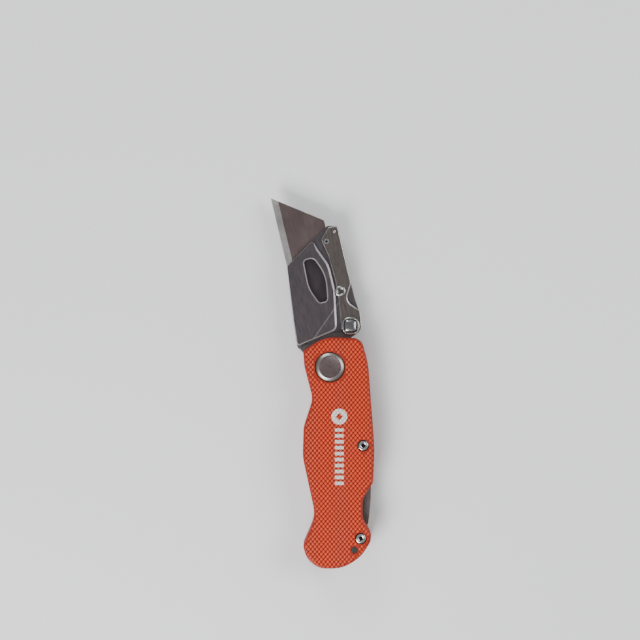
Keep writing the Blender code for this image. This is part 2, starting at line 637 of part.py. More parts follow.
def add_carrier_cover():
    """The front wall: a thin shelf under the lever and a raised cover over the blade."""
    shelf_corners = carrier_corners() + [
        (BUTTON_X + 3.2 * MM, COVER_CORNER_Y - 2.0 * MM, 1.5 * MM),
        (COVER_CORNER_X - 2.6 * MM, COVER_CORNER_Y - 0.6 * MM, 0.0),
        (CHIN_X, CHIN_Y, 1.0 * MM),
        (CHEEK_X, CHEEK_Y, 20.0 * MM),
    ]
    cover = plate("carrier_cover", shelf_corners, SLOT_FRONT, SHELF_FRONT, CARRIER, CARRIER_STEEL)
    pad = plate("cover_pad", cover_corners(), SLOT_FRONT + COVER_EDGE / 5,
                CARRIER_FRONT, CARRIER, edge=COVER_EDGE)
    combine(cover, pad, 'UNION')
    combine(cover, window())
    combine(cover, latch_slot("cover_latch_slot", SLOT_FRONT - CUT_THROUGH, CARRIER_FRONT))
    combine(cover, drum("cover_pivot_bore", RIVET_X, RIVET_Y, RIVET_RADIUS + FIT,
                        SLOT_FRONT - CUT_THROUGH, CARRIER_FRONT + CUT_THROUGH, CARRIER))
    combine(cover, spring_pocket())
    for index, (x, y) in enumerate(cover_rivet_places(), 1):
        combine(cover, drum(f"cover_rivet_bore_{index}", x, y, COVER_RIVET_RADIUS + FIT,
                            SLOT_FRONT - CUT_THROUGH, SHELF_FRONT + FIT, CARRIER))


def window():
    """The D-shaped window through the cover, with its straight side towards the edge."""
    top = BLADE_MIDDLE_Y + WINDOW_TOP
    bottom = BLADE_MIDDLE_Y - WINDOW_BOTTOM
    return plate("cover_window", [
        (WINDOW_LEFT_X + 0.4 * MM, top, 1.4 * MM),
        (WINDOW_RIGHT_X - 3.2 * MM, top + 0.3 * MM, 3.5 * MM),
        (WINDOW_RIGHT_X, BLADE_MIDDLE_Y - 5.5 * MM, 18.0 * MM),
        (WINDOW_RIGHT_X - 1.7 * MM, bottom, 1.4 * MM),
        (WINDOW_RIGHT_X - 5.0 * MM, bottom, 1.2 * MM),
        (WINDOW_LEFT_X, BLADE_MIDDLE_Y - 8.8 * MM, 13.0 * MM),
    ], SLOT_FRONT - CUT_THROUGH, TOP, CARRIER)


def add_cover_rivets():
    """Rivets that hold the cover to the body, flush at the rear."""
    for index, (x, y) in enumerate(cover_rivet_places(), 1):
        drum(f"cover_rivet_{index}", x, y, COVER_RIVET_RADIUS, CARRIER_BACK, SHELF_FRONT,
             CARRIER, STEEL)


# ---- quick-change lever ---------------------------------------------------------------------------
def add_lever():
    """The rocking lever: latch head, waist on its rivet, scooped tail under the thumb button."""
    low = SHELF_FRONT + FIT
    lever = plate("release_lever", [
        (LATCH_X - 1.9 * MM, LATCH_Y + 1.2 * MM, 0.6 * MM),
        (BLADE_SPINE_X + 1.1 * MM, NOSE_TOP_Y + 0.3 * MM, 1.0 * MM),
        (CARRIER_SPINE_X - FIT, NOSE_TOP_Y, 1.8 * MM),
        (CARRIER_SPINE_X - FIT, RIVET_Y + 2.2 * MM, 1.8 * MM),
        (RIVET_X + 1.3 * MM, RIVET_Y - 4.0 * MM, 3.5 * MM),
        (CARRIER_SPINE_X + 0.9 * MM, BUTTON_Y + 5.0 * MM, 0.8 * MM),
        (BUTTON_X + BUTTON_RADIUS + 0.3 * MM, BUTTON_Y - BUTTON_RADIUS, 3.6 * MM),
        (BUTTON_X - BUTTON_RADIUS + 0.2 * MM, BUTTON_Y - BUTTON_RADIUS, 3.2 * MM),
        (BUTTON_X - BUTTON_RADIUS + 0.4 * MM, BUTTON_Y + 2.4 * MM, 2.0 * MM),
        (LEVER_NECK_X - 0.4 * MM, RIVET_Y - 2.8 * MM, 3.0 * MM),
        (LEVER_NECK_X, RIVET_Y + 5.0 * MM, 10.0 * MM),
        (LEVER_NECK_X - 0.4 * MM, LATCH_Y - 6.0 * MM, 10.0 * MM),
    ], low, CARRIER_FRONT, LEVER, LEVER_STEEL, LEVER_EDGE)
    holes = (("lever_latch_bore", LATCH_X, LATCH_Y, LATCH_CAP_RADIUS + FIT),
             ("lever_pivot_bore", RIVET_X, RIVET_Y, RIVET_RADIUS + FIT),
             ("lever_button_bore", BUTTON_X, BUTTON_Y, BUTTON_STEM + FIT))
    for name, x, y, radius in holes:
        combine(lever, drum(name, x, y, radius, low - CUT_THROUGH, TOP, LEVER))


def add_latch_pin():
    """The pin under the lever's head that stands in the blade's front notch."""
    cap_low = SHELF_FRONT + 2 * FIT
    top = CARRIER_FRONT + FIT
    dimple = LATCH_CAP_RADIUS / 2
    turned("latch_pin", LATCH_X, LATCH_Y,
           [(0.0, SLOT_BACK + FIT), (LATCH_RADIUS, SLOT_BACK + FIT), (LATCH_RADIUS, cap_low),
            (LATCH_CAP_RADIUS, cap_low), (LATCH_CAP_RADIUS, top), (dimple, top), (0.0, top - dimple)],
           LEVER, STEEL)


def add_lever_rivet():
    """The low-headed rivet that the lever rocks on."""
    head_low = CARRIER_FRONT + FIT / 2
    turned("lever_rivet", RIVET_X, RIVET_Y,
           [(0.0, SLOT_FRONT), (RIVET_RADIUS, SLOT_FRONT), (RIVET_RADIUS, head_low),
            (RIVET_HEAD_RADIUS, head_low), (RIVET_HEAD_RADIUS - 0.2 * MM, head_low + RIVET_HEAD),
            (0.0, head_low + RIVET_HEAD)], CARRIER, STEEL)


def add_thumb_button():
    """The ringed button on the lever's tail, with its stem in the lever."""
    base = CARRIER_FRONT + FIT / 2
    top = base + BUTTON_HEIGHT
    step = 0.4 * MM
    turned("thumb_button", BUTTON_X, BUTTON_Y,
           [(0.0, SHELF_FRONT + 2 * FIT), (BUTTON_STEM, SHELF_FRONT + 2 * FIT), (BUTTON_STEM, base),
            (BUTTON_RADIUS, base), (BUTTON_RADIUS, top - 2 * step), (BUTTON_RADIUS - step, top - step),
            (BUTTON_RADIUS - 2 * step, top - step), (BUTTON_RADIUS - 3 * step, top - 2 * step),
            (BUTTON_RADIUS - 4 * step, top - step / 2), (0.0, top)], LEVER, STEEL)


def spring_line():
    """The lever spring's run in the spine rail, from its anchor to its free end."""
    x = BLADE_SPINE_X + SPINE_RAIL / 2
    return Vector((x, RIVET_Y - 7.5 * MM)), Vector((x + 0.8 * MM, RIVET_Y + 2.5 * MM))


def spring_pocket():
    """The slot in the shelf that the lever spring lies in."""
    start, end = spring_line()
    side = 3 * SPRING_WIRE
    return plate("spring_pocket", [
        (start.x - side, start.y - side, 0.0),
        (end.x - side, end.y + side, 0.0),
        (end.x + side, end.y + side, 0.0),
        (start.x + side, start.y - side, 0.0),
    ], SLOT_FRONT + FIT, SHELF_FRONT + CUT_THROUGH, CARRIER)


def add_lever_spring():
    """The straight wire that returns the lever, lying under it."""
    start, end = spring_line()
    curve = bpy.data.curves.new("lever_spring", 'CURVE')
    curve.dimensions = '3D'
    curve.bevel_depth = SPRING_WIRE
    curve.bevel_resolution = 2
    curve.use_fill_caps = True
    spline = curve.splines.new('POLY')
    spline.points.add(1)
    height = SLOT_FRONT + 1.5 * FIT + SPRING_WIRE
    for target, point in zip(spline.points, (start, end)):
        target.co = (point.x, point.y, height, 1.0)
    wire = bpy.data.objects.new("lever_spring_drawing", curve)
    mesh = bpy.data.meshes.new_from_object(wire)
    bpy.data.objects.remove(wire)
    tidy_mesh(mesh, 0.0)
    add_item("lever_spring", mesh, CARRIER, SPRING_STEEL)


# ---- assembly -------------------------------------------------------------------------------------
clear_scene()
KNIFE = make_collection("utility_knife")
CUTTERS = make_collection("cutters")

ORANGE = make_material("orange_anodised", (0.60, 0.085, 0.034), 0.45, 0.35)
BLADE_STEEL = make_material("blade_steel", (0.42, 0.40, 0.39), 0.28, 1.0)
CARRIER_STEEL = make_material("carrier_steel", (0.33, 0.32, 0.33), 0.32, 1.0)
LEVER_STEEL = make_material("lever_steel", (0.40, 0.40, 0.38), 0.26, 1.0)
STEEL = make_material("bright_steel", (0.55, 0.55, 0.54), 0.22, 1.0)
DARK_STEEL = make_material("dark_steel", (0.10, 0.10, 0.10), 0.40, 1.0)
SPRING_STEEL = make_material("spring_steel", (0.30, 0.30, 0.31), 0.30, 1.0)
BRONZE = make_material("bronze", (0.55, 0.38, 0.16), 0.35, 1.0)

HANDLE = make_frame("handle_frame", None, 0.0, 0.0)
LOCK = make_frame("lock_frame", HANDLE, LOCK_PIN_X, LOCK_PIN_Y)
CARRIER = make_frame("carrier_frame", HANDLE, 0.0, 0.0, CARRIER_TILT)
LEVER = make_frame("lever_frame", CARRIER, RIVET_X, RIVET_Y)

add_scale("rear_scale", REAR_SCALE_BACK, REAR_SCALE_FRONT, REAR_SCALE_BACK)
add_scale("front_scale", FRONT_SCALE_BACK, FRONT_SCALE_FRONT, FRONT_SCALE_FRONT)
for place in fastener_places():
    add_fastener(*place)
add_washers()
add_butt_spacer()
add_butt_pin()
add_lock_spring()
add_lock_bar()
add_blade()
add_carrier_body()
add_carrier_cover()
add_cover_rivets()
add_lever()
add_latch_pin()
add_lever_rivet()
add_thumb_button()
add_lever_spring()
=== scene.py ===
import math

import bpy
import numpy as np
from mathutils.geometry import delaunay_2d_cdt
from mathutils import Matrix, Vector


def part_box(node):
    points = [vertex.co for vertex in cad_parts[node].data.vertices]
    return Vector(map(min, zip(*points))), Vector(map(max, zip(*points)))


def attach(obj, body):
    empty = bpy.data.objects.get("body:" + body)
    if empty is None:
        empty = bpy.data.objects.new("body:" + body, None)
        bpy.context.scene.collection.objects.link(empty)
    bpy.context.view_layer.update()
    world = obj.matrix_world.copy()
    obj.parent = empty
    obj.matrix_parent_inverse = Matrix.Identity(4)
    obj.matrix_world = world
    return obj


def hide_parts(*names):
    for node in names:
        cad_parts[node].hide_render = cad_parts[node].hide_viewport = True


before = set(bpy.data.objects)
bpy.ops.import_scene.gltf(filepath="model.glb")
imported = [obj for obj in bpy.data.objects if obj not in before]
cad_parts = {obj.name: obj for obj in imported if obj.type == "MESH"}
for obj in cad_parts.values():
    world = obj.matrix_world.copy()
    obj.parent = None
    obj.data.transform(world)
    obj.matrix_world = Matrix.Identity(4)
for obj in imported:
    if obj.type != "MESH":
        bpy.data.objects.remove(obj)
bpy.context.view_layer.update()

# ---- sizes, in millimetres unless a comment says otherwise -----------------------------------
MM = 0.001
TILT = math.radians(13.4)
SHARP = math.radians(36.0)
PIVOT = (0.0, 0.0)
LOCK_PIN = (13.5, -31.7)
REAR_BACK, REAR_FRONT = (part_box("rear_scale")[i].z / MM for i in (0, 1))
FRONT_BACK, FRONT_FACE = (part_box("front_scale")[i].z / MM for i in (0, 1))
TOP = FRONT_FACE + REAR_BACK
MIDDLE = TOP / 2
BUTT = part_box("front_scale")[0].y / MM
BUTT_SCREW = (12.5, BUTT + 12.3)
BUTT_PIN = (9.9, BUTT + 7.6)
COVER_BACK, COVER_FACE = (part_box("carrier_cover")[i].z / MM for i in (0, 1))
LEVER_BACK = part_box("release_lever")[0].z / MM
SHELF_FACE = LEVER_BACK - 0.1

SCALE_ROUND = 0.95
EASED = 0.2
CRISP = 0.05
PIVOT_HEAD = 5.8
PIN_HEAD = 1.95
HEAD_GAP = 0.3
HEAD_DEPTH = 1.5
SHANK_END = MIDDLE - 0.8
PIVOT_SHANK = 3.0
PIN_SHANK = 1.4
LOCK_PIN_HOLE = 1.45
BUTT_PIN_HOLE = 1.35
GRIP_ACROSS = 1.72
GRIP_ALONG = 1.02
GRIP_HEIGHT = 0.26
GRIP_ROOT = 0.12
GRIP_MARGIN = 0.5
GRIP_CLEAR = 0.75

# places in the carrier's own axes: across the blade from the pivot line, and along it
BLADE_EDGE = -7.5
GRIND = 2.6
NOSE_TOP = 54.99
NOSE_LOW = NOSE_TOP - 11.3
NOSE_TIP = (12.2, NOSE_TOP + 1.0)
PAD_TIP = (5.0, NOSE_LOW + 7.8)
BLADE_MIDDLE = 41.8
LATCH = (10.45, 49.8)
LATCH_STEM = 0.8
LATCH_CAP = 1.1
LATCH_HOLE = 1.15
SLOT_HALF = 1.0
SLOT_REACH = 3.6
RIVET = (11.25, 28.9)
RIVET_SHANK = 0.75
RIVET_HEAD = 2.1
RIVET_HOLE = 0.8
BUTTON = (11.95, 14.2)
BUTTON_STEM = 1.2
BUTTON_RADIUS = 3.8
HEAD_LIFT = 0.05
PIN_MARK = (14.5, 52.9)
PIN_MARK_HOLE = 0.55
LEVER_NECK = (14.6, 22.2)
NECK_SLOPE = 3.6
NECK_REACH = 2.1
SPINE = 16.3
CHIN = (-11.0, 11.2)
CREASE = ((5.4, 20.8), (-0.34, 15.7))
COVER_BEVEL = 0.8
COVER_BEVEL_DROP = 0.6
CHEEK = (-10.1, 22.3)

# grain of the metal finishes, in cycles per metre along each axis
BRUSHED = (7000, 260, 7000)
OXIDE_GRAIN = (5000, 300, 5000)
NICKEL_GRAIN = (1500, 1500, 1500)

# the studio, in metres
FLOOR_SIZE = 3.0
FLOOR_DROP = 0.0002
LIGHTS = (("key", (-0.28, -0.44, 0.50), 0.35, 6.5), ("fill", (0.50, 0.12, 0.45), 0.40, 2.6),
          ("back", (-0.20, 0.58, 0.36), 0.30, 2.2))
LIGHT_AIM = (-0.004, 0.0, 0.0)
ROOM_COLOUR = (0.92, 0.95, 1.0, 1.0)
ROOM_STRENGTH = 0.42
LENS = 110.0
VIEW_WIDTH = 0.2582
VIEW_CENTRE = (-0.0040, 0.0190)


# ---- outlines ------------------------------------------------------------------------------------
def rounded(corners, step=math.radians(7.0)):
    """Points of an outline whose corners (x, y, radius) are arcs, in millimetres.

    Each arc is the circle of that radius that touches both sides at the corner, sampled evenly in
    angle: centre + radius * (cos, sin). The result runs anticlockwise.
    """
    corner = np.array([c[:2] for c in corners], float)
    to_last = np.roll(corner, 1, 0) - corner
    to_next = np.roll(corner, -1, 0) - corner
    room = np.minimum(np.linalg.norm(to_last, axis=1), np.linalg.norm(to_next, axis=1))
    to_last /= np.linalg.norm(to_last, axis=1)[:, None]
    to_next /= np.linalg.norm(to_next, axis=1)[:, None]
    half = np.arccos(np.clip((to_last * to_next).sum(1), -1, 1)) / 2
    radius = np.minimum([c[2] for c in corners], 0.48 * room * np.tan(half))
    points = []
    for at, a, b, h, r in zip(corner, to_last, to_next, half, radius):
        if r < 1e-4:
            points.append(at[None])
            continue
        way = (a + b) / np.linalg.norm(a + b)
        centre = at + way * r / math.sin(h)
        first = at + a * r / math.tan(h) - centre
        sweep = math.pi - 2 * h
        sweep *= -1 if a[0] * b[1] - a[1] * b[0] > 0 else 1
        turn = np.linspace(0, sweep, max(2, math.ceil(abs(sweep) / step) + 1))[:, None]
        points.append(centre + np.hstack([np.cos(turn) * first[0] - np.sin(turn) * first[1],
                                          np.sin(turn) * first[0] + np.cos(turn) * first[1]]))
    loop = np.vstack(points)
    after = np.roll(loop, -1, 0)
    area = (loop[:, 0] * after[:, 1] - loop[:, 1] * after[:, 0]).sum()
    return loop if area > 0 else loop[::-1]


def circle(centre, radius, count=64):
    """A ring of points at equal angles, anticlockwise."""
    turn = np.linspace(0, 2 * math.pi, count, endpoint=False)
    return np.column_stack([centre[0] + radius * np.cos(turn), centre[1] + radius * np.sin(turn)])


def hole(loop):
    """The same loop run clockwise, so that the material stays on its left."""
    return loop[::-1]


def inset(loop, depth):
    """A loop moved to its left by a depth, each corner along the mitre of its two sides."""
    before = loop - np.roll(loop, 1, 0)
    after = np.roll(loop, -1, 0) - loop
    before /= np.linalg.norm(before, axis=1)[:, None]
    after /= np.linalg.norm(after, axis=1)[:, None]
    left_a = np.column_stack([-before[:, 1], before[:, 0]])
    left_b = np.column_stack([-after[:, 1], after[:, 0]])
    mitre = (left_a + left_b) / (1 + (left_a * left_b).sum(1))[:, None]
    return loop + mitre * np.broadcast_to(depth, len(loop))[:, None]


def tilted(points):
    """Points in the carrier's own axes, turned about the pivot into the knife's axes."""
    cos, sin = math.cos(TILT), math.sin(TILT)
    points = np.asarray(points, float)
    return np.column_stack([points[:, 0] * cos - points[:, 1] * sin,
                            points[:, 0] * sin + points[:, 1] * cos])


def tilted_point(place):
    """One place in the carrier's axes, in the knife's axes."""
    return tuple(tilted([place])[0])


SCALE_CORNERS = [
    (-10.8, 6.6, 1.0), (-2.2, 12.3, 15.0), (12.7, 11.5, 4.2), (15.5, 1.4, 30.0),
    (18.1, -33.0, 60.0), (17.5, BUTT + 34.9, 4.0), (13.2, BUTT + 28.0, 6.0),
    (13.2, BUTT + 20.5, 7.0), (16.7, BUTT + 14.0, 2.0), (16.5, BUTT + 11.0, 5.2),
    (12.8, BUTT + 4.9, 14.0), (5.2, BUTT, 14.0), (-4.6, BUTT, 8.5), (-9.6, BUTT + 4.3, 8.0),
    (-10.9, BUTT + 9.4, 3.5), (-5.8, BUTT + 21.0, 14.0), (-11.0, -36.5, 16.0),
    (-10.7, -24.5, 10.0), (-6.9, -13.0, 9.0), (-10.4, 0.5, 8.0),
]
BAR_CORNERS = [
    (9.65, 3.5, 0.4), (14.2, 3.9, 1.5), (17.1, -33.0, 60.0), (16.5, BUTT + 24.5, 60.0),
    (15.4, BUTT + 16.8, 1.5), (11.7, BUTT + 16.8, 1.5), (11.7, -0.5, 0.4), (9.65, -0.5, 0.4),
]
NOSE_CORNERS = [(BLADE_EDGE, NOSE_LOW, 0.5), (*NOSE_TIP, 1.5), (SPINE, NOSE_TOP, 1.8),
                (SPINE, 25.1, 6.0), (SPINE + 0.6, 18.2, 3.5)]
CHEEK_CORNERS = [(*CHIN, 1.1), (*CHEEK, 20.0)]
SHELF_CORNERS = NOSE_CORNERS + [(15.15, 11.9, 1.5), (3.8, 13.3, 0.0)] + CHEEK_CORNERS
PAD_CORNERS = [(BLADE_EDGE, NOSE_LOW, 1.1), (*PAD_TIP, 1.2), (6.4, NOSE_LOW + 3.6, 6.0),
               (9.3, NOSE_LOW - 3.4, 12.0), (9.3, 29.6, 8.0), (6.4, 13.9, 3.0)] + CHEEK_CORNERS
WINDOW_CORNERS = [(-0.4, BLADE_MIDDLE + 2.5, 1.4), (3.7, BLADE_MIDDLE + 2.8, 3.5),
                  (6.9, BLADE_MIDDLE - 5.5, 18.0), (5.2, BLADE_MIDDLE - 15.5, 1.4),
                  (1.9, BLADE_MIDDLE - 15.5, 1.2), (-0.8, BLADE_MIDDLE - 8.8, 13.0)]
LEVER_CORNERS = [
    (8.55, 51.0, 0.6), (12.6, NOSE_TOP + 0.3, 1.0), (SPINE - 0.1, NOSE_TOP, 1.8),
    (SPINE - 0.1, 31.1, 1.8), (12.55, 24.9, 3.5), (17.2, 19.2, 0.8), (16.05, 10.4, 3.6),
    (8.35, 10.4, 3.2), (8.55, 16.6, 2.0), (9.9, 26.1, 3.0), (10.3, 33.9, 10.0), (9.9, 43.8, 10.0),
]


# ---- meshes --------------------------------------------------------------------------------------
def add_piece(name, points, faces, body, material, stands_for=(), even=False):
    """Make one object from points in millimetres, and say what it rides on and stands for."""
    mesh = bpy.data.meshes.new(name)
    mesh.from_pydata(np.asarray(points) * MM, [], faces)
    mesh.validate()
    mesh.polygons.foreach_set("use_smooth", [True] * len(mesh.polygons))
    mesh.set_sharp_from_angle(angle=SHARP)
    mesh.materials.append(material)
    piece = bpy.data.objects.new(name, mesh)
    bpy.context.scene.collection.objects.link(piece)
    if even:
        weigh = piece.modifiers.new("even_shading", 'WEIGHTED_NORMAL')
        weigh.keep_sharp = True
    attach(piece, body)
    if stands_for:
        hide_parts(*stands_for)
    return piece


def round_edge(low, high, top_round, low_round, steps=6):
    """The edge of a slab from its upper face to its lower one, as (inset, height) pairs.

    Each edge is a quarter circle: inset = r - r sin a, height = z -/+ (r - r cos a).
    """
    turn = np.linspace(0, math.pi / 2, steps)
    upper = np.column_stack([top_round * (1 - np.sin(turn)), high - top_round * (1 - np.cos(turn))])
    lower = np.column_stack([low_round * (1 - np.sin(turn)), low + low_round * (1 - np.cos(turn))])
    return np.vstack([upper, lower[::-1]])


def band(rows):
    """Quads between the rows of a (rows, points) grid of numbers, joined round each row."""
    after = np.roll(rows, -1, 1)
    return np.stack([rows[:-1], after[:-1], after[1:], rows[1:]], -1).reshape(-1, 4)


def slab(name, loops, edge, hole_edge, body, material, stands_for=(), share=1.0):
    """A flat piece with shaped edges: an edge profile carried round each loop, and two flat faces.

    A point is the loop's point moved left by the profile's inset, at the profile's height. The
    faces are triangles between the first rows and between the last rows. The outside's insets are
    multiplied by share, which may differ from point to point.
    """
    points, faces, start = [], [], 0
    tops, lows = [], []
    for index, loop in enumerate(loops):
        profile = hole_edge if index else edge
        part = 1.0 if index else share
        rows = [np.column_stack([inset(loop, d * part), np.full(len(loop), z)]) for d, z in profile]
        grid = start + np.arange(len(profile) * len(loop)).reshape(len(profile), len(loop))
        points.append(np.vstack(rows))
        faces.extend(band(grid).tolist())
        tops.append(grid[0])
        lows.append(grid[-1])
        start += grid.size
    points = np.vstack(points)
    faces.extend(fill(points, tops))
    faces.extend([face[::-1] for face in fill(points, lows)])
    return add_piece(name, points, faces, body, material, stands_for, even=True)


def inside_depth(places, loop):
    """How far each place is inside a loop, negative outside: the least distance to its sides."""
    a, b = loop, np.roll(loop, -1, 0)
    side = b - a
    offset = places[:, None] - a[None]
    share = np.clip((offset * side).sum(2) / (side * side).sum(1), 0, 1)
    gap = np.linalg.norm(offset - share[..., None] * side, axis=2).min(1)
    straddle = (a[None, :, 1] > places[:, 1:2]) != (b[None, :, 1] > places[:, 1:2])
    rise = np.where(side[:, 1] == 0, 1e-12, side[:, 1])
    crossing = a[:, 0] + (places[:, 1:2] - a[:, 1]) * side[:, 0] / rise
    inside = (straddle & (places[:, :1] < crossing)).sum(1) % 2 == 1
    return np.where(inside, gap, -gap)


def fill(points, loops):
    """Triangles between closed loops, the first of which is the outside."""
    order = np.concatenate(loops)
    sides, start = [], 0
    for loop in loops:
        own = start + np.arange(len(loop))
        sides.extend(zip(own.tolist(), np.roll(own, -1).tolist()))
        start += len(loop)
    flat = points[order][:, :2]
    result = delaunay_2d_cdt([tuple(p) for p in flat], sides, [], 0, 1e-7)
    source = np.array([origin[0] for origin in result[3]])
    triangles = source[np.array(result[2])]
    corner = flat[triangles]
    centre = corner.mean(1)
    kept = inside_depth(centre, points[loops[0]][:, :2]) > 0
    for loop in loops[1:]:
        kept &= inside_depth(centre, points[loop][:, :2]) < 0
    across = np.cross(corner[:, 1] - corner[:, 0], corner[:, 2] - corner[:, 0])
    triangles[across < 0] = triangles[across < 0][:, ::-1]
    return order[triangles[kept]].tolist()


def six_sided(turn):
    """Share of the corner radius of a hexagon: cos 30 / cos(a mod 60 - 30)."""
    part = math.pi / 3
    return math.cos(part / 2) / np.cos(np.mod(turn, part) - part / 2)


def squarish(turn):
    """Share of the half width of a rounded square: (cos^4 a + sin^4 a)^(-1/4)."""
    return (np.cos(turn) ** 4 + np.sin(turn) ** 4) ** -0.25


def turned(name, centre, profile, body, material, stands_for=(), count=72):
    """A turned piece: radius and height pairs from the axis round to the axis.

    A row's third value may be a function of the angle that the radius is multiplied by.
    """
    turn = np.linspace(0, 2 * math.pi, count, endpoint=False)
    rows = []
    for radius, height, *shape in profile[1:-1]:
        reach = radius * (shape[0](turn) if shape else np.ones(count))
        rows.append(np.column_stack([centre[0] + reach * np.cos(turn),
                                     centre[1] + reach * np.sin(turn), np.full(count, height)]))
    poles = [[*centre, profile[0][1]], [*centre, profile[-1][1]]]
    points = np.vstack([poles, *rows])
    grid = 2 + np.arange(len(rows) * count).reshape(len(rows), count)
    faces = band(grid).tolist()
    first, last = grid[0], grid[-1]
    faces += np.column_stack([np.zeros(count, int), np.roll(first, -1), first]).tolist()
    faces += np.column_stack([np.ones(count, int), last, np.roll(last, -1)]).tolist()
    return add_piece(name, points, faces, body, material, stands_for, even=True)


# ---- materials -----------------------------------------------------------------------------------
class Finish:
    """A material and short ways to add and join its nodes."""

    def __init__(self, name, colour, roughness, metallic):
        self.material = bpy.data.materials.new(name)
        self.material.use_nodes = True
        self.tree = self.material.node_tree
        self.shader = self.tree.nodes["Principled BSDF"]
        self.shader.inputs["Base Color"].default_value = (*colour, 1.0)
        self.shader.inputs["Roughness"].default_value = roughness
        self.shader.inputs["Metallic"].default_value = metallic
        self.place = self.add("ShaderNodeTexCoord").outputs["Object"]

    def add(self, kind, **settings):
        """A new node of a kind, with its settings."""
        item = self.tree.nodes.new(kind)
        for key, value in settings.items():
            setattr(item, key, value)
        return item

    def put(self, value, socket):
        """Join a socket to another, or give it a value."""
        if isinstance(value, bpy.types.NodeSocket):
            self.tree.links.new(value, socket)
        else:
            socket.default_value = value

    def maths(self, operation, a, b=0.0):
        """The result of one sum on one or two values."""
        item = self.add("ShaderNodeMath", operation=operation)
        self.put(a, item.inputs[0])
        self.put(b, item.inputs[1])
        return item.outputs[0]

    def axes(self):
        """The x, y and z of the Object coordinates."""
        split = self.add("ShaderNodeSeparateXYZ")
        self.put(self.place, split.inputs[0])
        return split.outputs

    def span(self, value, low, high, to_low=0.0, to_high=1.0):
        """A value carried from one range to another in a straight line, held at its ends."""
        item = self.add("ShaderNodeMapRange")
        for socket, number in zip(item.inputs[:5], (value, low, high, to_low, to_high)):
            self.put(number, socket)
        return item.outputs[0]

    def between(self, value, low, high):
        """1 where a length lies between two limits given in millimetres, else 0."""
        return self.maths('MULTIPLY', self.maths('GREATER_THAN', value, low * MM),
                          self.maths('LESS_THAN', value, high * MM))

    def paint(self, colour):
        """Make a colour the shader's base colour."""
        self.put(colour, self.shader.inputs["Base Color"])

    def painted(self):
        """The colour that is the shader's base colour so far."""
        return self.shader.inputs["Base Color"].links[0].from_socket

    def gloss(self, roughness):
        """Make a value the shader's roughness."""
        self.put(roughness, self.shader.inputs["Roughness"])

    def noise(self, stretch, detail=3.0, turn=0.0):
        """Noise on Object coordinates, turned and stretched. stretch is cycles per metre."""
        mapping = self.add("ShaderNodeMapping")
        self.put(self.place, mapping.inputs["Vector"])
        mapping.vector_type = 'TEXTURE'
        mapping.inputs["Rotation"].default_value = (0.0, 0.0, turn)
        mapping.inputs["Scale"].default_value = tuple(1.0 / s for s in stretch)
        item = self.add("ShaderNodeTexNoise")
        self.put(mapping.outputs[0], item.inputs["Vector"])
        item.inputs["Scale"].default_value = 1.0
        item.inputs["Detail"].default_value = detail
        return item.outputs["Fac"]

    def mix(self, factor, a, b):
        """One colour at factor 0 and the other at 1, with their mixtures between."""
        item = self.add("ShaderNodeMix", data_type='RGBA')
        self.put(factor, item.inputs["Factor"])
        for value, socket in ((a, item.inputs[6]), (b, item.inputs[7])):
            self.put(value if isinstance(value, bpy.types.NodeSocket) else (*value, 1.0), socket)
        return item.outputs[2]

    def bump(self, height, distance, strength=1.0):
        """Tilt the shading as a relief of this height would, distance metres deep."""
        item = self.add("ShaderNodeBump")
        self.put(height, item.inputs["Height"])
        item.inputs["Distance"].default_value = distance
        item.inputs["Strength"].default_value = strength
        self.put(item.outputs[0], self.shader.inputs["Normal"])


def orange_anodised(marked):
    """Orange anodising with painted shade low down and in the pits, and a painted highlight on the
    tops.

    The pits, where four diamonds meet, lie where s = x/a + y/2b and t = x/a - y/2b are both
    half-way between integers.
    """
    finish = Finish("marked_orange" if marked else "plain_orange", (0.60, 0.07, 0.02), 0.46, 0.25)
    finish.shader.inputs["Specular IOR Level"].default_value = 0.35
    x, y, z = finish.axes()
    lift = finish.maths('ABSOLUTE', finish.maths('SUBTRACT', z, MIDDLE * MM))
    face = (FRONT_FACE - MIDDLE) * MM
    height = finish.span(lift, face - 0.02 * MM, face + GRIP_HEIGHT * 0.85 * MM)
    across = finish.maths('DIVIDE', x, GRIP_ACROSS * MM)
    along = finish.maths('DIVIDE', y, 2 * GRIP_ALONG * MM)
    ways = (finish.maths('ADD', across, along), finish.maths('SUBTRACT', across, along))
    away = [finish.maths('ABSOLUTE', finish.maths('SUBTRACT', finish.maths('FRACT', way), 0.5))
            for way in ways]
    # painted shade: the pits between the diamonds go near black
    pit_shade = finish.span(finish.maths('MAXIMUM', *away), 0.07, 0.32, 0.92, 0.0)
    pit_shade = finish.maths('MULTIPLY', pit_shade, finish.maths('GREATER_THAN', lift, face - 0.15 * MM))
    cloud = finish.noise((160, 160, 160), 2.0)
    # painted shade low on the scale and a painted highlight on the diamonds' tops, set by height
    raised = finish.mix(height, (0.28, 0.018, 0.005), (0.64, 0.066, 0.020))
    colour = finish.mix(finish.span(cloud, 0.3, 0.7, 0.0, 0.30), raised, (0.46, 0.038, 0.012))
    colour = finish.mix(pit_shade, colour, (0.09, 0.004, 0.001))
    if marked:
        colour = finish.mix(printed_mark(finish, x, y, z, height), colour, (0.72, 0.70, 0.66))
    finish.paint(colour)
    grain = finish.noise((9000, 9000, 9000), 2.0)
    finish.gloss(finish.span(grain, 0.3, 0.7, 0.40, 0.54))
    finish.bump(grain, 0.012 * MM, 0.6)
    return finish.material


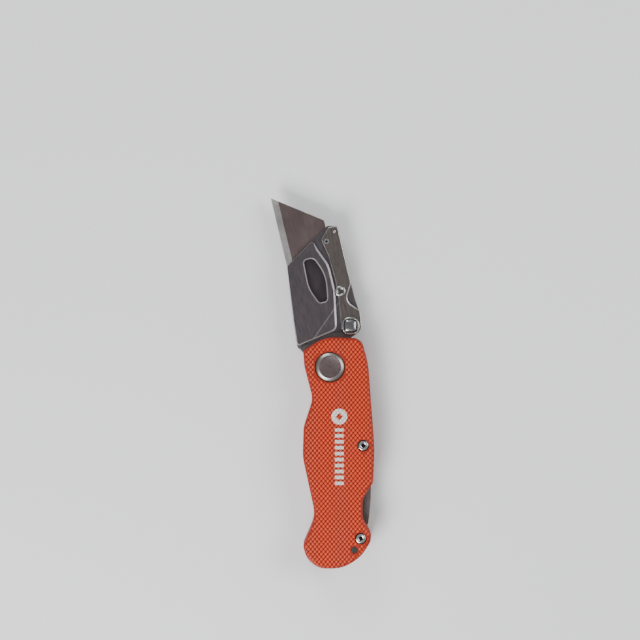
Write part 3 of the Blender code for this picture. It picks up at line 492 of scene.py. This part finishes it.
def printed_mark(finish, x, y, z, height):
    """A plain printed mark: a disc with a lozenge left open, and a run of short bars under it."""
    disc_x, disc_y, disc_radius = 3.8 * MM, -20.0 * MM, 3.2 * MM
    bar_low, bar_high = -47.6 * MM, -24.8 * MM
    bar_pitch, bar_half = 2.4 * MM, 1.8 * MM
    dx = finish.maths('ABSOLUTE', finish.maths('SUBTRACT', x, disc_x))
    dy = finish.maths('ABSOLUTE', finish.maths('SUBTRACT', y, disc_y))
    reach = finish.maths('SQRT', finish.maths('ADD', finish.maths('MULTIPLY', dx, dx),
                                              finish.maths('MULTIPLY', dy, dy)))
    disc = finish.maths('LESS_THAN', reach, disc_radius)
    open_part = finish.maths('GREATER_THAN', finish.maths('ADD', dx, dy), 1.5 * MM)
    disc = finish.maths('MULTIPLY', disc, open_part)
    run = finish.maths('SUBTRACT', y, bar_low)
    step = finish.maths('FRACT', finish.maths('DIVIDE', run, bar_pitch))
    bars = finish.maths('LESS_THAN', step, 0.56)
    bars = finish.maths('MULTIPLY', bars, finish.maths('LESS_THAN', dx, bar_half))
    bars = finish.maths('MULTIPLY', bars, finish.maths('GREATER_THAN', y, bar_low))
    bars = finish.maths('MULTIPLY', bars, finish.maths('LESS_THAN', y, bar_high))
    mark = finish.maths('MAXIMUM', disc, bars)
    mark = finish.maths('MULTIPLY', mark, finish.maths('GREATER_THAN', z, MIDDLE * MM))
    return finish.maths('MULTIPLY', mark, finish.span(height, 0.0, 0.5, 0.55, 0.95))


def steel(name, tone, roughness, turn, grain=BRUSHED, bump=0.6, zones=(), vary=0.18):
    """Brushed steel: fine lines along one direction in its tone, gloss and surface.

    A zone (low, high, colour) gives the metal between two heights another colour.
    """
    finish = Finish(name, tone, roughness, 1.0)
    tone = np.array(tone)
    lines = finish.noise(grain, 4.0, turn)
    cloud = finish.noise((110, 110, 110), 2.0)
    colour = finish.mix(finish.span(lines, 0.3, 0.7),
                        tuple(tone * (1 - vary)), tuple(tone * (1 + vary)))
    colour = finish.mix(finish.span(cloud, 0.35, 0.65, 0.0, 0.5), colour, tuple(tone * 0.88))
    height = finish.axes()[2]
    for low, high, other in zones:
        colour = finish.mix(finish.between(height, low, high), colour, other)
    finish.paint(colour)
    finish.gloss(finish.span(lines, 0.3, 0.7, roughness * 0.8, roughness * 1.25))
    finish.bump(lines, 0.006 * MM, bump)
    return finish


def nickel(name, tone, roughness, zones=()):
    """Plated steel with a fine even grain, for heads, pins and the button."""
    return steel(name, tone, roughness, 0.0, NICKEL_GRAIN, 0.2, zones).material


def carrier_axes(finish):
    """Distances across and along the carrier, in metres, from the piece's own coordinates."""
    x, y, _ = finish.axes()
    cos, sin = math.cos(TILT), math.sin(TILT)
    across = finish.maths('ADD', finish.maths('MULTIPLY', x, cos),
                          finish.maths('MULTIPLY', y, sin))
    along = finish.maths('SUBTRACT', finish.maths('MULTIPLY', y, cos),
                         finish.maths('MULTIPLY', x, sin))
    return across, along


def ground_blade():
    """Blade steel: dull flats, painted shade under the cover, and a ground strip at the edge."""
    finish = Finish("ground_blade", (0.19, 0.142, 0.135), 0.36, 1.0)
    across, along = carrier_axes(finish)
    strip = finish.maths('LESS_THAN', across, (BLADE_EDGE + GRIND) * MM)
    slope = (NOSE_TIP[1] - NOSE_LOW) / (NOSE_TIP[0] - BLADE_EDGE)
    nose = finish.maths('SUBTRACT', along, finish.maths('MULTIPLY', across, slope))
    # painted shade: the blade is darker beyond the nose line, under the carrier's cover
    inside = finish.maths('LESS_THAN', nose, (NOSE_LOW - BLADE_EDGE * slope - 1.0) * MM)
    lengthwise = finish.noise((5200, 160, 5200), 4.0, TILT)
    crosswise = finish.noise((300, 9000, 300), 3.0, TILT)
    cloud = finish.noise((140, 90, 140), 3.0, TILT)
    flat = finish.mix(finish.span(lengthwise, 0.3, 0.7),
                      (0.155, 0.118, 0.112), (0.225, 0.172, 0.162))
    flat = finish.mix(finish.span(cloud, 0.35, 0.7, 0.0, 0.6), flat, (0.15, 0.118, 0.112))
    honed = finish.mix(finish.span(crosswise, 0.3, 0.7), (0.34, 0.32, 0.31), (0.54, 0.52, 0.50))
    colour = finish.mix(strip, flat, honed)
    finish.paint(finish.mix(inside, colour, (0.085, 0.070, 0.076)))
    finish.gloss(finish.span(cloud, 0.3, 0.7, 0.30, 0.46))
    finish.bump(lengthwise, 0.005 * MM, 0.5)
    return finish.material


def cover_steel():
    """Dark brushed cover: painted highlight on the bevels; lower corner crease painted as light and
    shade.
    """
    # painted highlight: a light grey band on the cover's bevels
    bevel = (COVER_FACE - 0.7 * COVER_BEVEL_DROP, COVER_FACE - 0.02, (0.36, 0.345, 0.355))
    finish = steel("cover_steel", (0.148, 0.126, 0.133), 0.36, TILT, zones=(bevel,))
    across, along = carrier_axes(finish)
    (x0, y0), (x1, y1) = CREASE
    length = math.hypot(x1 - x0, y1 - y0)
    side = finish.maths('SUBTRACT', finish.maths('MULTIPLY', across, (y1 - y0) / length),
                        finish.maths('MULTIPLY', along, (x1 - x0) / length))
    away = finish.maths('SUBTRACT', side, (x0 * (y1 - y0) - y0 * (x1 - x0)) / length * MM)
    # painted highlight along the crease, and painted shade on one side of it; the fold itself is
    # not shaped
    line = finish.span(finish.maths('ABSOLUTE', away), 0.10 * MM, 0.28 * MM, 0.55, 0.0)
    crease_shade = finish.span(away, -0.1 * MM, 0.1 * MM, 0.0, 0.35)
    # the same painted highlight makes the bevels less metallic, so they stay light
    bevel_highlight = finish.between(finish.axes()[2], *bevel[:2])
    finish.put(finish.span(bevel_highlight, 0.0, 1.0, 1.0, 0.3), finish.shader.inputs["Metallic"])
    colour = finish.mix(crease_shade, finish.painted(), (0.12, 0.103, 0.110))
    finish.paint(finish.mix(line, colour, (0.40, 0.38, 0.38)))
    return finish.material


def cap_steel():
    """The pivot cap: a dull dished face inside a brighter turned ring."""
    finish = steel("cap_steel", (0.20, 0.15, 0.15), 0.34, 0.0, (2500, 2500, 2500), 0.3, vary=0.08)
    x, y, _ = finish.axes()
    reach = finish.maths('SQRT', finish.maths('ADD', finish.maths('MULTIPLY', x, x),
                                              finish.maths('MULTIPLY', y, y)))
    ring = finish.maths('GREATER_THAN', reach, (PIVOT_HEAD - 1.5) * MM)
    finish.paint(finish.mix(ring, finish.painted(), (0.30, 0.275, 0.255)))
    return finish.material


def oiled_bronze():
    """Washer bronze with a little turning grain."""
    finish = Finish("oiled_bronze", (0.52, 0.33, 0.13), 0.38, 1.0)
    cloud = finish.noise((900, 900, 900), 3.0)
    finish.paint(finish.mix(cloud, (0.40, 0.24, 0.09), (0.60, 0.40, 0.17)))
    finish.bump(cloud, 0.01 * MM, 0.4)
    return finish.material


# ---- handle --------------------------------------------------------------------------------------
# the round holes through a scale, one for each head and one for the plain pin
SCALE_HOLES = ((PIVOT, PIVOT_HEAD + HEAD_GAP), (LOCK_PIN, PIN_HEAD + HEAD_GAP),
               (BUTT_SCREW, PIN_HEAD + HEAD_GAP), (BUTT_PIN, BUTT_PIN_HOLE))


def grip_scale(name, node, low, high, outer_is_high, material):
    """A scale: rounded at its outer face, crisp inside, with its round holes."""
    loops = [rounded(SCALE_CORNERS)] + [hole(circle(at, radius)) for at, radius in SCALE_HOLES]
    rounds = (SCALE_ROUND, EASED) if outer_is_high else (EASED, SCALE_ROUND)
    slab(name, loops, round_edge(low, high, *rounds), round_edge(low, high, EASED, EASED),
         "handle", material, (node,))


def grip_diamonds(name, face, outward, material):
    """The raised grip: low four-sided pyramids with blunt tops, in staggered rows.

    Each is one template, copied to the places of the lattice that lie on the scale. Near the edge
    it shrinks and follows the scale's rounding: it sinks by r - sqrt(r^2 - (r - d)^2) at depth d.
    """
    half_across, half_along = GRIP_ACROSS * 0.45, GRIP_ALONG * 0.90
    ring = np.array([(half_across, 0), (0, half_along), (-half_across, 0), (0, -half_along)])
    levels = ((1.0, -GRIP_ROOT), (0.94, 0.02), (0.60, GRIP_HEIGHT * 0.86), (0.42, GRIP_HEIGHT))
    template = np.vstack([np.column_stack([ring * share, np.full(4, height)])
                          for share, height in levels])
    quads = band(np.arange(16).reshape(4, 4))[:, ::-1].tolist() + [[12, 13, 14, 15]]
    loop = rounded(SCALE_CORNERS)
    low, high = loop.min(0), loop.max(0)
    rows = np.arange(math.floor(low[1] / GRIP_ALONG), math.ceil(high[1] / GRIP_ALONG) + 1)
    columns = np.arange(math.floor(low[0] / GRIP_ACROSS), math.ceil(high[0] / GRIP_ACROSS) + 1)
    across, along = np.meshgrid(columns, rows)
    places = np.column_stack([((across + 0.5 * (along % 2)) * GRIP_ACROSS).ravel(),
                              (along * GRIP_ALONG).ravel()])
    depth = inside_depth(places, loop)
    keep = depth > GRIP_MARGIN
    for at, radius in SCALE_HOLES:
        keep &= np.linalg.norm(places - np.array(at), axis=1) > radius + GRIP_CLEAR
    places, depth = places[keep], depth[keep]
    points = np.repeat(template[None], len(places), 0)
    points[:, :, :2] *= np.clip(depth / SCALE_ROUND, 0.0, 1.0)[:, None, None]
    points[:, :, :2] += places[:, None]
    reach = inside_depth(points[:, :, :2].reshape(-1, 2), loop).reshape(len(places), -1)
    short = np.clip(SCALE_ROUND - reach, 0, SCALE_ROUND)
    sink = SCALE_ROUND - np.sqrt(SCALE_ROUND ** 2 - short ** 2)
    points[:, :, 2] = face + outward * (points[:, :, 2] - sink)
    numbers = np.arange(len(places))[:, None, None] * len(template) + np.array(quads)[None]
    faces = numbers.reshape(-1, 4)[:, ::(1 if outward > 0 else -1)]
    add_piece(name, points.reshape(-1, 3), faces.tolist(), "handle", material)


def screw_head(name, centre, head, node, material):
    """A front screw: domed rim, flat face and a six-sided socket, on its shank."""
    rim = head * 0.15
    socket = head * 0.52
    profile = [(0, SHANK_END), (head / 3, SHANK_END), (head / 3, TOP - HEAD_DEPTH),
               (head, TOP - HEAD_DEPTH), (head, TOP - rim),
               (head - 0.3 * rim, TOP - 0.3 * rim), (head - rim, TOP),
               (socket + 0.15, TOP), (socket, TOP - 0.12, six_sided),
               (socket, TOP - 0.8, six_sided), (0, TOP - 0.8)]
    turned(name, centre, profile, "handle", material, (node,))


def pivot_cap(material):
    """The pivot's broad front head: bevelled ring round a dished face with a small socket."""
    head = PIVOT_HEAD
    shank = PIVOT_SHANK / 2
    profile = [(0, SHANK_END), (shank, SHANK_END), (shank, TOP - HEAD_DEPTH),
               (head, TOP - HEAD_DEPTH),
               (head, TOP - 0.7), (head - 0.22, TOP - 0.45), (head - 1.15, TOP - 0.04),
               (head - 1.3, TOP), (head - 1.5, TOP - 0.01), (head - 1.62, TOP - 0.16),
               (head - 1.8, TOP - 0.2), (2.0, TOP - 0.29), (0.75, TOP - 0.3), (0.65, TOP - 0.42),
               (0, TOP - 0.42)]
    turned("pivot_cap", PIVOT, profile, "handle", material, ("pivot_screw",), 96)


def rear_head(name, centre, head, shank, node, material):
    """A barrel's flat rear head with a rolled rim, and the barrel through the handle."""
    rim = 0.35
    turned(name, centre,
           [(0, 0), (head - rim, 0), (head - 0.3 * rim, 0.3 * rim), (head, rim),
            (head, HEAD_DEPTH), (shank, HEAD_DEPTH), (shank, TOP - 1.6), (0, TOP - 1.6)],
           "handle", material, (node,))


def lock_bar(material):
    """The bar in the knife's back, with eased edges and its pin hole."""
    low, high = (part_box("lock_bar")[i].z / MM for i in (0, 1))
    slab("back_lock_bar", [rounded(BAR_CORNERS), hole(circle(LOCK_PIN, LOCK_PIN_HOLE, 40))],
         round_edge(low, high, EASED, EASED), round_edge(low, high, CRISP, CRISP),
         "lock_bar", material, ("lock_bar",))


# ---- carrier -------------------------------------------------------------------------------------
def slot_loop():
    """The latch pin's slot in the shelf."""
    x, y = LATCH
    left, right, low, high = x - SLOT_HALF, x + SLOT_REACH, y - SLOT_HALF, y + SLOT_HALF
    return rounded([(*at, SLOT_HALF / 2)
                    for at in ((left, low), (right, low), (right, high), (left, high))])


def blade_cover(material):
    """The front wall: a thin shelf and the raised, bevelled cover over the blade."""
    window = hole(tilted(rounded(WINDOW_CORNERS)))
    shelf = [tilted(rounded(SHELF_CORNERS)), window, hole(tilted(slot_loop())),
             hole(tilted(circle(RIVET, RIVET_HOLE + CRISP, 40)))]
    slab("cover_shelf", shelf, round_edge(COVER_BACK, SHELF_FACE, 0.12, 0.08),
         round_edge(COVER_BACK, SHELF_FACE, CRISP, CRISP), "carrier", material,
         ("carrier_cover",))
    pad = rounded(PAD_CORNERS)
    slope = (PAD_TIP[1] - NOSE_LOW) / (PAD_TIP[0] - BLADE_EDGE)
    behind_nose = NOSE_LOW + (pad[:, 0] - BLADE_EDGE) * slope - pad[:, 1]
    share = np.clip(behind_nose / 4.0, 0.22, 1.0) * np.clip(1 + 0.05 * pad[:, 0], 0.55, 1.0)
    bevel = np.array([(1.0, 0.0), (0.93, -0.04), (0.12, -0.50), (0.03, -0.66), (0.0, -1.0)])
    bevel *= (COVER_BEVEL, COVER_BEVEL_DROP)
    foot = [(0.0, COVER_BACK + 0.2), (0.08, COVER_BACK + 0.1)]
    bevel = np.vstack([bevel + (0.0, COVER_FACE), foot])
    slab("blade_cover", [tilted(pad), window], bevel, bevel * (0.6, 1.0), "carrier",
         material, share=share)


def lever_plate(material):
    """The rocking lever: rounded edges, a long slope at its neck, its two bores and a pin mark."""
    holes = [circle(LATCH, LATCH_HOLE, 40), circle(RIVET, RIVET_HOLE, 40),
             circle(PIN_MARK, PIN_MARK_HOLE, 32)]
    outline = rounded(LEVER_CORNERS)
    from_neck = np.linalg.norm(outline - LEVER_NECK, axis=1)
    share = 1 + NECK_SLOPE * np.exp(-(from_neck / NECK_REACH) ** 2)
    slab("lever_plate", [tilted(outline)] + [hole(tilted(loop)) for loop in holes],
         round_edge(LEVER_BACK, COVER_FACE, 0.27, 0.1),
         round_edge(LEVER_BACK, COVER_FACE, 0.03, 0.03),
         "lever", material, ("release_lever",), share)
    plug = PIN_MARK_HOLE - 0.02
    turned("lever_pin_mark", tilted_point(PIN_MARK),
           [(0, LEVER_BACK + 0.2), (plug, LEVER_BACK + 0.2), (plug, COVER_FACE - 0.22),
            (0.40, COVER_FACE - 0.15), (0, COVER_FACE - 0.12)], "lever", material)


def latch_and_rivet(latch, bright):
    """The latch pin's dished end and the lever's low rivet head."""
    top = COVER_FACE + 0.1
    shoulder = LEVER_BACK + 0.1
    pin_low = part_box("latch_pin")[0].z / MM
    turned("latch_stud", tilted_point(LATCH),
           [(0, pin_low), (LATCH_STEM, pin_low), (LATCH_STEM, shoulder), (LATCH_CAP, shoulder),
            (LATCH_CAP, top - 0.12), (0.98, top), (0.62, top), (0.5, top - 0.1),
            (0.42, top - 0.5), (0, top - 0.55)], "lever", latch, ("latch_pin",))
    base = COVER_FACE + HEAD_LIFT
    turned("rocker_rivet", tilted_point(RIVET),
           [(0, COVER_BACK), (RIVET_SHANK, COVER_BACK), (RIVET_SHANK, base), (RIVET_HEAD, base),
            (RIVET_HEAD, base + 0.06), (1.95, base + 0.20), (1.75, base + 0.25),
            (1.45, base + 0.25), (1.25, base + 0.10), (0, base + 0.06)],
           "carrier", bright, ("lever_rivet",))


def thumb_button(bright):
    """The button on the lever's tail: a stepped ring, a squarish groove and a squarish boss."""
    base, foot = COVER_FACE + HEAD_LIFT, SHELF_FACE + 0.2
    profile = [(0, foot), (BUTTON_STEM, foot), (BUTTON_STEM, base), (BUTTON_RADIUS, base),
               (BUTTON_RADIUS, base + 0.6), (3.72, base + 0.80), (3.5, base + 1.02),
               (3.35, base + 1.08), (2.80, base + 1.05, squarish), (2.72, base + 0.95, squarish),
               (2.66, base + 0.55, squarish), (2.42, base + 0.52, squarish),
               (2.36, base + 0.62, squarish), (2.25, base + 1.05, squarish),
               (1.9, base + 1.28, squarish), (1.2, base + 1.44), (0, base + 1.5)]
    turned("thumb_button_cap", tilted_point(BUTTON), profile, "lever", bright,
           ("thumb_button",), 96)


# ---- the kept nodes ------------------------------------------------------------------------------
def finish_node(node, material, ease=0.0):
    """Give a kept node its finish and, where it shows, eased edges."""
    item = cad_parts[node]
    item.data.materials.clear()
    item.data.materials.append(material)
    if ease:
        weld = item.modifiers.new("weld", 'WELD')
        weld.merge_threshold = 1e-6
        bevel = item.modifiers.new("eased_edges", 'BEVEL')
        bevel.width = ease * MM
        bevel.segments = 2
        bevel.limit_method = 'ANGLE'
        bevel.angle_limit = math.radians(40)
        weigh = item.modifiers.new("even_shading", 'WEIGHTED_NORMAL')
        weigh.keep_sharp = True


# ---- studio --------------------------------------------------------------------------------------
def studio():
    """A pale floor, soft side lights and the camera straight above the knife's front face."""
    bpy.ops.mesh.primitive_plane_add(size=FLOOR_SIZE, location=(0.0, 0.0, -FLOOR_DROP))
    floor = bpy.context.object
    floor.name = "floor"
    pale = Finish("pale_floor", (0.80, 0.80, 0.80), 0.75, 0.0)
    floor.data.materials.append(pale.material)
    world = bpy.data.worlds.new("soft_room")
    world.use_nodes = True
    room = world.node_tree.nodes["Background"]
    room.inputs["Color"].default_value = ROOM_COLOUR
    room.inputs["Strength"].default_value = ROOM_STRENGTH
    bpy.context.scene.world = world
    for name, place, size, power in LIGHTS:
        lamp = bpy.data.lights.new(name, 'AREA')
        lamp.size = size
        lamp.energy = power
        item = bpy.data.objects.new(name, lamp)
        item.location = place
        aim = np.array(LIGHT_AIM) - np.array(place)
        item.rotation_mode = 'QUATERNION'
        item.rotation_quaternion = Vector(aim).to_track_quat('-Z', 'Y')
        bpy.context.scene.collection.objects.link(item)
    eye = bpy.data.cameras.new("camera")
    eye.lens = LENS
    eye.clip_start, eye.clip_end = 0.01, 10.0
    camera = bpy.data.objects.new("camera", eye)
    camera.location = (*VIEW_CENTRE, VIEW_WIDTH * eye.lens / eye.sensor_width + TOP * MM)
    bpy.context.scene.collection.objects.link(camera)
    bpy.context.scene.camera = camera


# ---- assembly ------------------------------------------------------------------------------------
marked_orange = orange_anodised(True)
plain_orange = orange_anodised(False)
# painted highlight: a pale band along the lever's rounded top edge
lever_edge_highlight = (COVER_FACE - 0.24, COVER_FACE - 0.02, (0.60, 0.585, 0.57))
lever_steel = steel("lever_satin", (0.195, 0.166, 0.152), 0.32, TILT, (6000, 320, 6000),
                    zones=(lever_edge_highlight,), vary=0.08).material
body_steel = steel("body_steel", (0.20, 0.18, 0.175), 0.36, TILT).material
# painted shade: near black down inside the screw heads' six-sided sockets
socket = (TOP - 1.4, TOP - 0.3, (0.03, 0.04, 0.04))
screw_steel = nickel("screw_nickel", (0.58, 0.57, 0.54), 0.18, (socket,))
bright_steel = nickel("bright_nickel", (0.52, 0.51, 0.50), 0.18)
# painted shade: near black in the button's groove and low on its ring
groove_shade = (COVER_FACE + 0.5, COVER_FACE + 0.66, (0.08, 0.075, 0.075))
boss = (COVER_FACE + 1.15, COVER_FACE + 1.6, (0.24, 0.235, 0.235))
button_steel = nickel("button_nickel", (0.42, 0.41, 0.40), 0.24, (groove_shade, boss))
# painted shade: darker in the rivet head's dished centre and low round its rim
hollow_shade = (COVER_FACE, COVER_FACE + 0.2, (0.12, 0.115, 0.11))
# painted shade: near black in the latch stud's dished end and round its sides in the lever's hole
bore_shade = (LEVER_BACK, COVER_FACE - 0.05, (0.04, 0.04, 0.04))
latch_steel = nickel("latch_nickel", (0.52, 0.51, 0.50), 0.20, (bore_shade,))
rivet_steel = nickel("rivet_nickel", (0.46, 0.45, 0.44), 0.28, (hollow_shade,))
bar_steel = steel("bar_steel", (0.15, 0.125, 0.12), 0.40, 0.0, OXIDE_GRAIN).material
dark_steel = steel("dark_oxide", (0.075, 0.072, 0.07), 0.42, 0.0, OXIDE_GRAIN).material
spring_steel = steel("spring_strip", (0.30, 0.29, 0.28), 0.30, 0.0).material
blade_finish = ground_blade()
cover_finish = cover_steel()
cap_finish = cap_steel()
bronze = oiled_bronze()

grip_scale("front_grip_scale", "front_scale", FRONT_BACK, FRONT_FACE, True, marked_orange)
grip_scale("rear_grip_scale", "rear_scale", REAR_BACK, REAR_FRONT, False, plain_orange)
grip_diamonds("front_grip_diamonds", FRONT_FACE, 1.0, marked_orange)
grip_diamonds("rear_grip_diamonds", REAR_BACK, -1.0, plain_orange)
pivot_cap(cap_finish)
screw_head("lock_pin_head", LOCK_PIN, PIN_HEAD, "lock_pin_screw", screw_steel)
screw_head("butt_screw_head", BUTT_SCREW, PIN_HEAD, "butt_screw", screw_steel)
rear_head("pivot_rear_head", PIVOT, PIVOT_HEAD, PIVOT_SHANK, "pivot_barrel", bright_steel)
rear_head("lock_pin_rear_head", LOCK_PIN, PIN_HEAD, PIN_SHANK, "lock_pin_barrel", bright_steel)
rear_head("butt_rear_head", BUTT_SCREW, PIN_HEAD, PIN_SHANK, "butt_barrel", bright_steel)
lock_bar(bar_steel)
blade_cover(cover_finish)
lever_plate(lever_steel)
latch_and_rivet(latch_steel, rivet_steel)
thumb_button(button_steel)
finish_node("carrier_body", body_steel, 0.12)
finish_node("blade", blade_finish)
finish_node("butt_spacer", dark_steel, 0.15)
finish_node("butt_pin", dark_steel, 0.15)
finish_node("lock_spring", spring_steel)
finish_node("lever_spring", spring_steel)
for washer in ("front_washer", "rear_washer"):
    finish_node(washer, bronze)
for number in (1, 2, 3):
    finish_node(f"cover_rivet_{number}", bright_steel)
studio()
